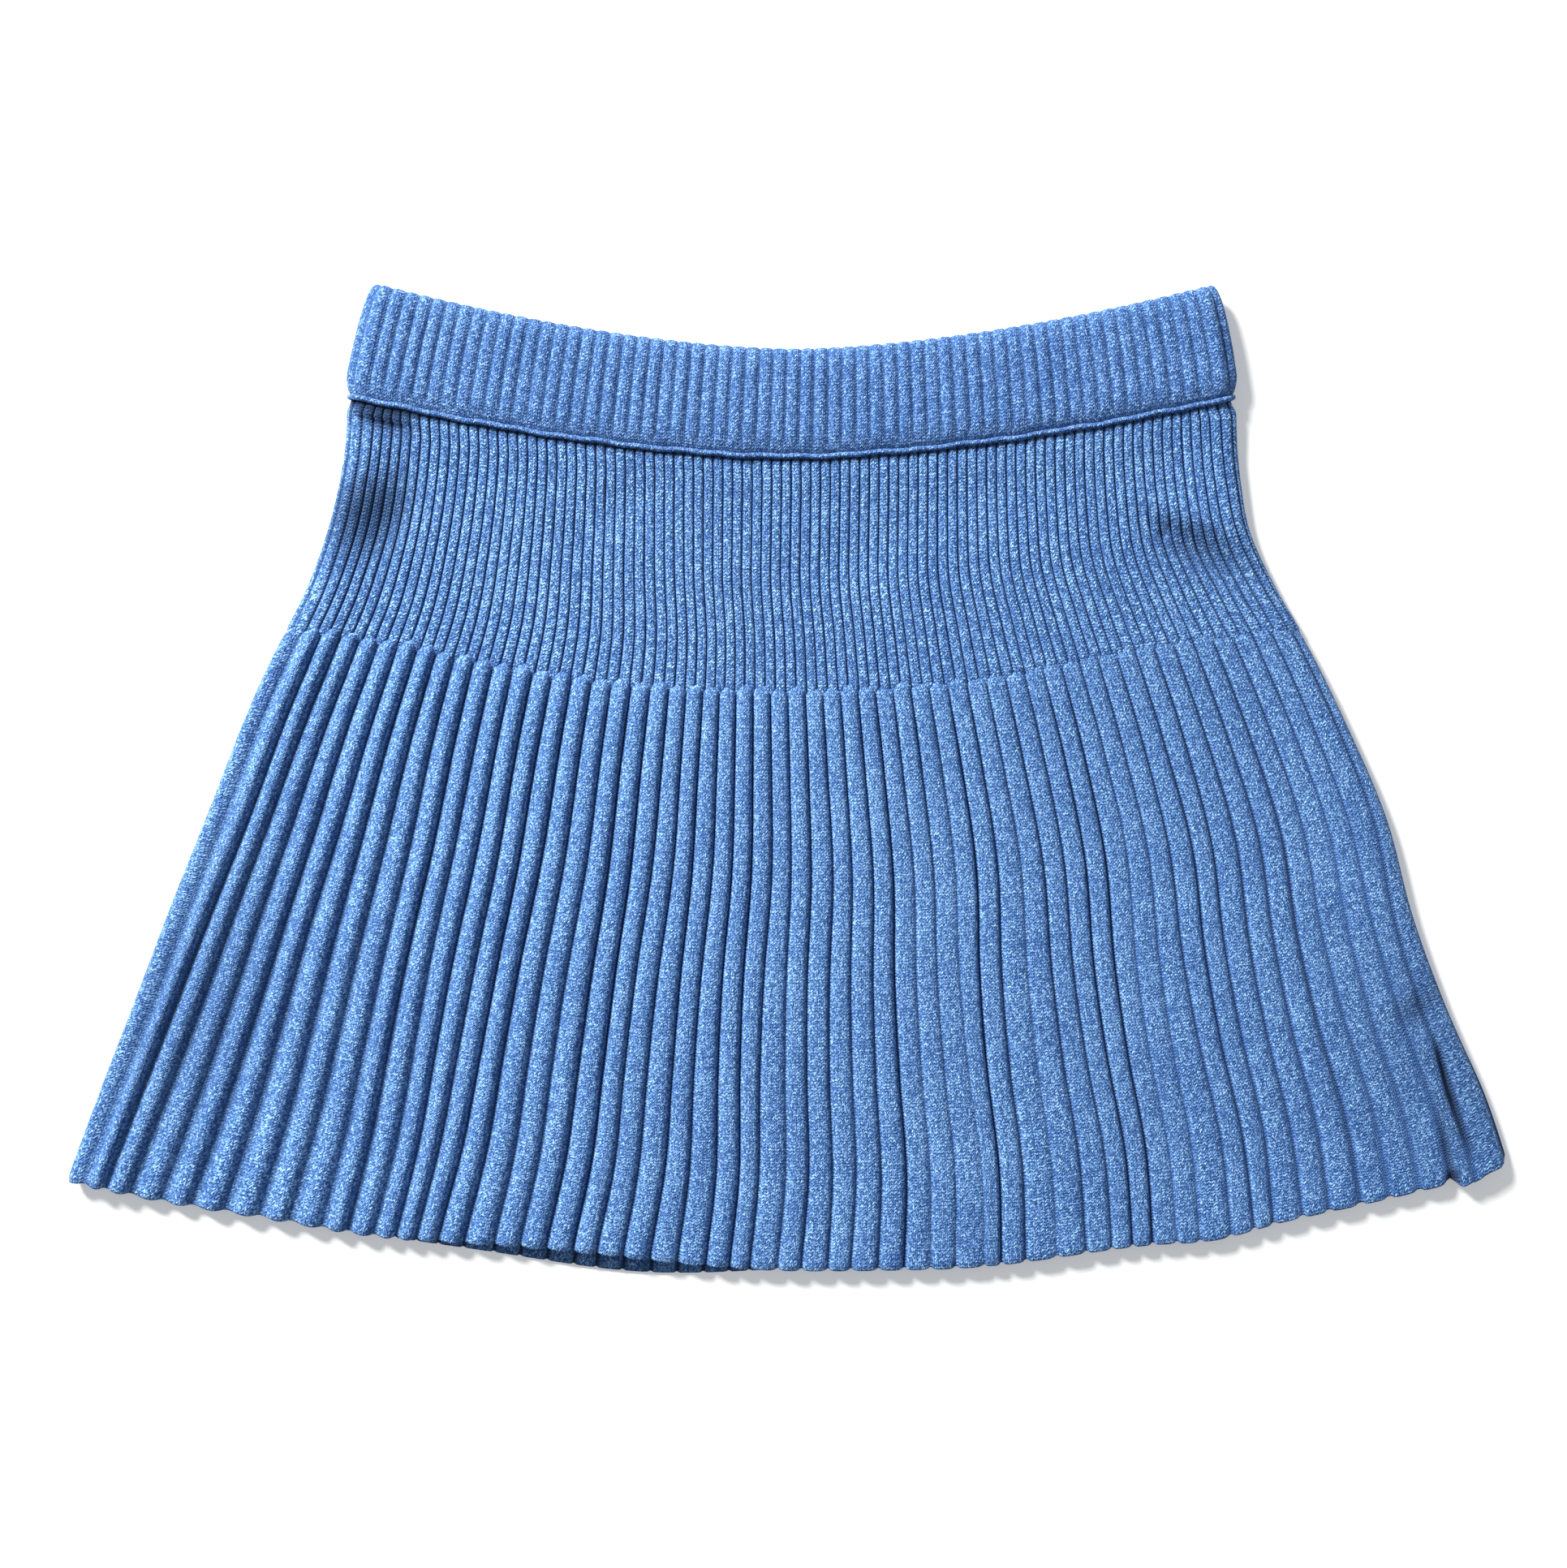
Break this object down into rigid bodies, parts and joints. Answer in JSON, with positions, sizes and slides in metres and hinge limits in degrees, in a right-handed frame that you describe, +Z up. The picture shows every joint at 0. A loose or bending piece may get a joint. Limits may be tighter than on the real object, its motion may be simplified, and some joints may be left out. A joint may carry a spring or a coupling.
{
  "type": "rib-knit flared mini skirt, laid flat",
  "caption": "Rib-knit mini skirt laid flat, front up, with a folded pull-on waistband, a fine-ribbed hip yoke and wide ribs that flare to a scalloped hem.",
  "frame": {"origin": "on the surface that the skirt lies on, under the middle of its bounding box", "axes": "+X across the hem to the picture's right, +Y from the hem to the waist, +Z up out of the surface, through the back and then the front"},
  "size_m": [0.567, 0.3888, 0.0105],
  "materials": {
    "panel_knit": "soft heathered rib knit",
    "band_knit": "soft heathered rib knit"
  },
  "bodies": {
    "root": {"skirt_front": "panel_knit", "skirt_back": "panel_knit", "waistband_front": "band_knit", "waistband_back": "band_knit"}
  },
  "joints": []
}
